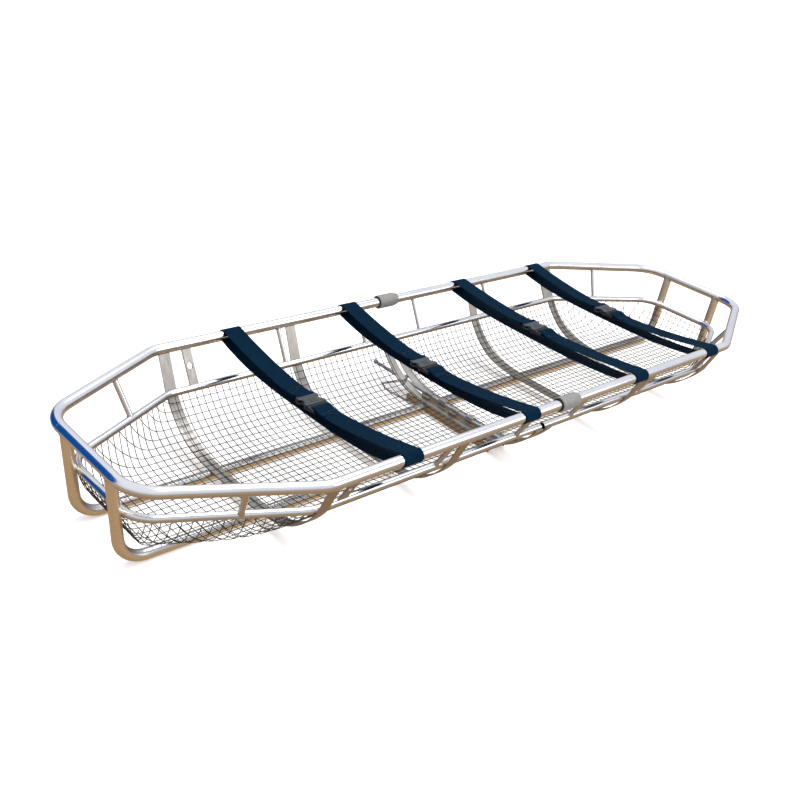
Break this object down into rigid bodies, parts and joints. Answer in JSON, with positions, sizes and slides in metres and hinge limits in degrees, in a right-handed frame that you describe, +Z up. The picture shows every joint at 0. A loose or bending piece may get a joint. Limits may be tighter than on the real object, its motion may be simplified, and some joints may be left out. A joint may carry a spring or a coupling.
{
  "type": "rescue stretcher",
  "caption": "Two-piece basket stretcher: a steel-tube frame with a pressed wire-mesh bed, runners, lifting eyes, rail collars, a lock rod and buckled webbing straps.",
  "frame": {"origin": "centre of the bounding box in plan, on the ground under the runners", "axes": "+X along the length towards the head end, +Y across towards the side the lock rod is pulled out of, +Z up"},
  "size_m": [2.161, 0.71, 0.248],
  "materials": {
    "rail_steel": "polished stainless tube with fine lengthwise brushing",
    "lower_rail_steel": "polished stainless tube",
    "runner_steel": "satin stainless tube, scuffed underneath",
    "rib_steel": "rolled stainless flat bar",
    "post_steel": "drawn stainless bar",
    "mesh_wire": "welded stainless wire mesh",
    "collar_metal": "bead-blasted alloy, dull light grey",
    "rod_steel": "dark blue-grey coated steel",
    "chain_steel": "plated steel links",
    "webbing": "navy woven polyester webbing",
    "buckle_plastic": "moulded black plastic"
  },
  "bodies": {
    "foot_half": {"foot_top_rail": "rail_steel", "foot_lower_rail": "lower_rail_steel", "foot_near_runner": "runner_steel", "foot_far_runner": "runner_steel", "foot_outer_rib": "rib_steel", "foot_inner_rib": "rib_steel", "foot_split_frame": "rib_steel", "foot_corner_posts": "post_steel", "foot_side_posts": "post_steel", "foot_near_lifting_eye": "rib_steel", "foot_far_lifting_eye": "rib_steel", "foot_mesh": "mesh_wire", "foot_rod_guides": "rib_steel", "lanyard_chain": "chain_steel", "strap_1_webbing": "webbing", "strap_1_buckle_socket": "buckle_plastic", "strap_1_buckle_tongue": "buckle_plastic", "strap_2_webbing": "webbing", "strap_2_buckle_socket": "buckle_plastic", "strap_2_buckle_tongue": "buckle_plastic"},
    "head_half": {"head_top_rail": "rail_steel", "head_lower_rail": "lower_rail_steel", "head_near_runner": "runner_steel", "head_far_runner": "runner_steel", "head_outer_rib": "rib_steel", "head_inner_rib": "rib_steel", "head_split_frame": "rib_steel", "head_corner_posts": "post_steel", "head_side_posts": "post_steel", "head_near_lifting_eye": "rib_steel", "head_far_lifting_eye": "rib_steel", "head_mesh": "mesh_wire", "head_rod_forks": "rib_steel", "near_spigot": "runner_steel", "far_spigot": "runner_steel", "strap_3_webbing": "webbing", "strap_3_buckle_socket": "buckle_plastic", "strap_3_buckle_tongue": "buckle_plastic", "strap_4_webbing": "webbing", "strap_4_buckle_socket": "buckle_plastic", "strap_4_buckle_tongue": "buckle_plastic"},
    "near_collar": {"near_collar": "collar_metal"},
    "far_collar": {"far_collar": "collar_metal"},
    "lock_rod": {"lock_rod": "rod_steel", "lock_rod_cap": "rod_steel"},
    "strap_1_left_prong": {"strap_1_left_prong": "buckle_plastic"},
    "strap_1_right_prong": {"strap_1_right_prong": "buckle_plastic"},
    "strap_2_left_prong": {"strap_2_left_prong": "buckle_plastic"},
    "strap_2_right_prong": {"strap_2_right_prong": "buckle_plastic"},
    "strap_3_left_prong": {"strap_3_left_prong": "buckle_plastic"},
    "strap_3_right_prong": {"strap_3_right_prong": "buckle_plastic"},
    "strap_4_left_prong": {"strap_4_left_prong": "buckle_plastic"},
    "strap_4_right_prong": {"strap_4_right_prong": "buckle_plastic"}
  },
  "joints": [
    {"name": "head_pull", "type": "slide", "parent": "foot_half", "child": "head_half", "axis": [1, 0, 0], "range_m": [0, 0.25]},
    {"name": "near_collar_slide", "type": "slide", "parent": "head_half", "child": "near_collar", "axis": [1, 0, 0], "range_m": [0, 0.04]},
    {"name": "far_collar_slide", "type": "slide", "parent": "head_half", "child": "far_collar", "axis": [1, 0, 0], "range_m": [0, 0.04]},
    {"name": "lock_rod_pull", "type": "slide", "parent": "foot_half", "child": "lock_rod", "axis": [0, 1, 0], "range_m": [0, 0.36]},
    {"name": "strap_1_left_squeeze", "type": "hinge", "parent": "foot_half", "child": "strap_1_left_prong", "pos_m": [-0.5312, -0.019, 0.19956], "axis": [0, 0, -1], "range_deg": [0, 6], "stiffness_Nm_per_rad": 0.2},
    {"name": "strap_1_right_squeeze", "type": "hinge", "parent": "foot_half", "child": "strap_1_right_prong", "pos_m": [-0.4928, -0.019, 0.19956], "axis": [0, 0, 1], "range_deg": [0, 6], "stiffness_Nm_per_rad": 0.2},
    {"name": "strap_2_left_squeeze", "type": "hinge", "parent": "foot_half", "child": "strap_2_left_prong", "pos_m": [-0.1512, 0.001, 0.20161], "axis": [0, 0, -1], "range_deg": [0, 6], "stiffness_Nm_per_rad": 0.2},
    {"name": "strap_2_right_squeeze", "type": "hinge", "parent": "foot_half", "child": "strap_2_right_prong", "pos_m": [-0.1128, 0.001, 0.20161], "axis": [0, 0, 1], "range_deg": [0, 6], "stiffness_Nm_per_rad": 0.2},
    {"name": "strap_3_left_squeeze", "type": "hinge", "parent": "head_half", "child": "strap_3_left_prong", "pos_m": [0.2828, 0.003, 0.21958], "axis": [0, 0, -1], "range_deg": [0, 6], "stiffness_Nm_per_rad": 0.2},
    {"name": "strap_3_right_squeeze", "type": "hinge", "parent": "head_half", "child": "strap_3_right_prong", "pos_m": [0.3212, 0.003, 0.21958], "axis": [0, 0, 1], "range_deg": [0, 6], "stiffness_Nm_per_rad": 0.2},
    {"name": "strap_4_left_squeeze", "type": "hinge", "parent": "head_half", "child": "strap_4_left_prong", "pos_m": [0.6208, 0.007, 0.20969], "axis": [0, 0, -1], "range_deg": [0, 6], "stiffness_Nm_per_rad": 0.2},
    {"name": "strap_4_right_squeeze", "type": "hinge", "parent": "head_half", "child": "strap_4_right_prong", "pos_m": [0.6592, 0.007, 0.20969], "axis": [0, 0, 1], "range_deg": [0, 6], "stiffness_Nm_per_rad": 0.2}
  ],
  "couplings": [
    {"joint": "strap_1_right_squeeze", "follows": "strap_1_left_squeeze", "ratio": 1},
    {"joint": "strap_2_right_squeeze", "follows": "strap_2_left_squeeze", "ratio": 1},
    {"joint": "strap_3_right_squeeze", "follows": "strap_3_left_squeeze", "ratio": 1},
    {"joint": "strap_4_right_squeeze", "follows": "strap_4_left_squeeze", "ratio": 1}
  ]
}
